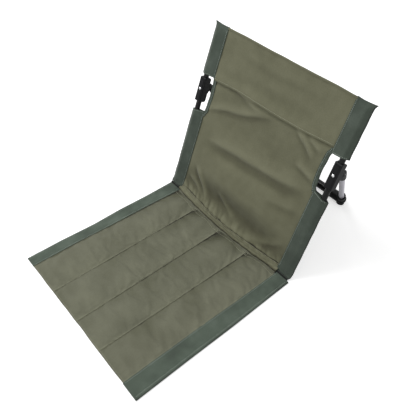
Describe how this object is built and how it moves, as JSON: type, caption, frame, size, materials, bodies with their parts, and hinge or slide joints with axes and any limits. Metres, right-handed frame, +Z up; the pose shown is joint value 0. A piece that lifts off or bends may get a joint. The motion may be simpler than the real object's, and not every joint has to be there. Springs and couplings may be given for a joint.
{
  "type": "folding ground chair",
  "caption": "Legless folding camping chair: a padded seat mat on the ground, a reclined cloth back on two poles, and a stand that folds out behind the back to prop it up.",
  "frame": {"origin": "on the ground, at the centre of the open chair's plan: midway between the sides, the front hem and the rear of the stand", "axes": "+Z up, the sitter faces -Y, +X to the right as seen from the front"},
  "size_m": [0.406, 0.6746, 0.3787],
  "materials": {
    "olive_cloth": "matt coated weave",
    "green_cloth": "matt coated weave",
    "foam": "soft closed-cell foam",
    "black_plastic": "moulded",
    "black_tube": "gloss coating",
    "aluminium_tube": "satin anodised",
    "steel": "plated"
  },
  "bodies": {
    "seat": {"seat_top_cloth": "olive_cloth", "seat_base_cloth": "olive_cloth", "seat_front_hem": "olive_cloth", "hinge_welt": "olive_cloth", "seat_foam_1": "foam", "seat_foam_2": "foam", "seat_foam_3": "foam", "seat_foam_4": "foam", "seat_band_left": "green_cloth", "seat_band_right": "green_cloth"},
    "backrest": {"back_hinge_hem": "olive_cloth", "back_panel_lower": "olive_cloth", "back_panel_upper": "olive_cloth", "back_top_hem": "olive_cloth", "sleeve_lower_left": "green_cloth", "sleeve_upper_left": "green_cloth", "notch_binding_left": "green_cloth", "back_pole_left": "black_tube", "pole_plug_bottom_left": "black_plastic", "pole_plug_top_left": "black_plastic", "pivot_bracket_left": "black_plastic", "bracket_rivet_left": "steel", "sleeve_lower_right": "green_cloth", "sleeve_upper_right": "green_cloth", "notch_binding_right": "green_cloth", "back_pole_right": "black_tube", "pole_plug_bottom_right": "black_plastic", "pole_plug_top_right": "black_plastic", "pivot_bracket_right": "black_plastic", "bracket_rivet_right": "steel"},
    "stand": {"crossbar": "black_tube", "strut_knuckle_left": "black_plastic", "pivot_pin_left": "steel", "strut_left": "aluminium_tube", "corner_foot_left": "black_plastic", "strut_knuckle_right": "black_plastic", "pivot_pin_right": "steel", "strut_right": "aluminium_tube", "corner_foot_right": "black_plastic"}
  },
  "joints": [
    {"name": "backrest_fold", "type": "hinge", "parent": "seat", "child": "backrest", "pos_m": [0, 0.04973, 0.00505], "axis": [1, 0, 0], "range_deg": [0, 108]},
    {"name": "stand_fold", "type": "hinge", "parent": "backrest", "child": "stand", "pos_m": [0, 0.16462, 0.23413], "axis": [-1, 0, 0], "range_deg": [0, 55]}
  ]
}
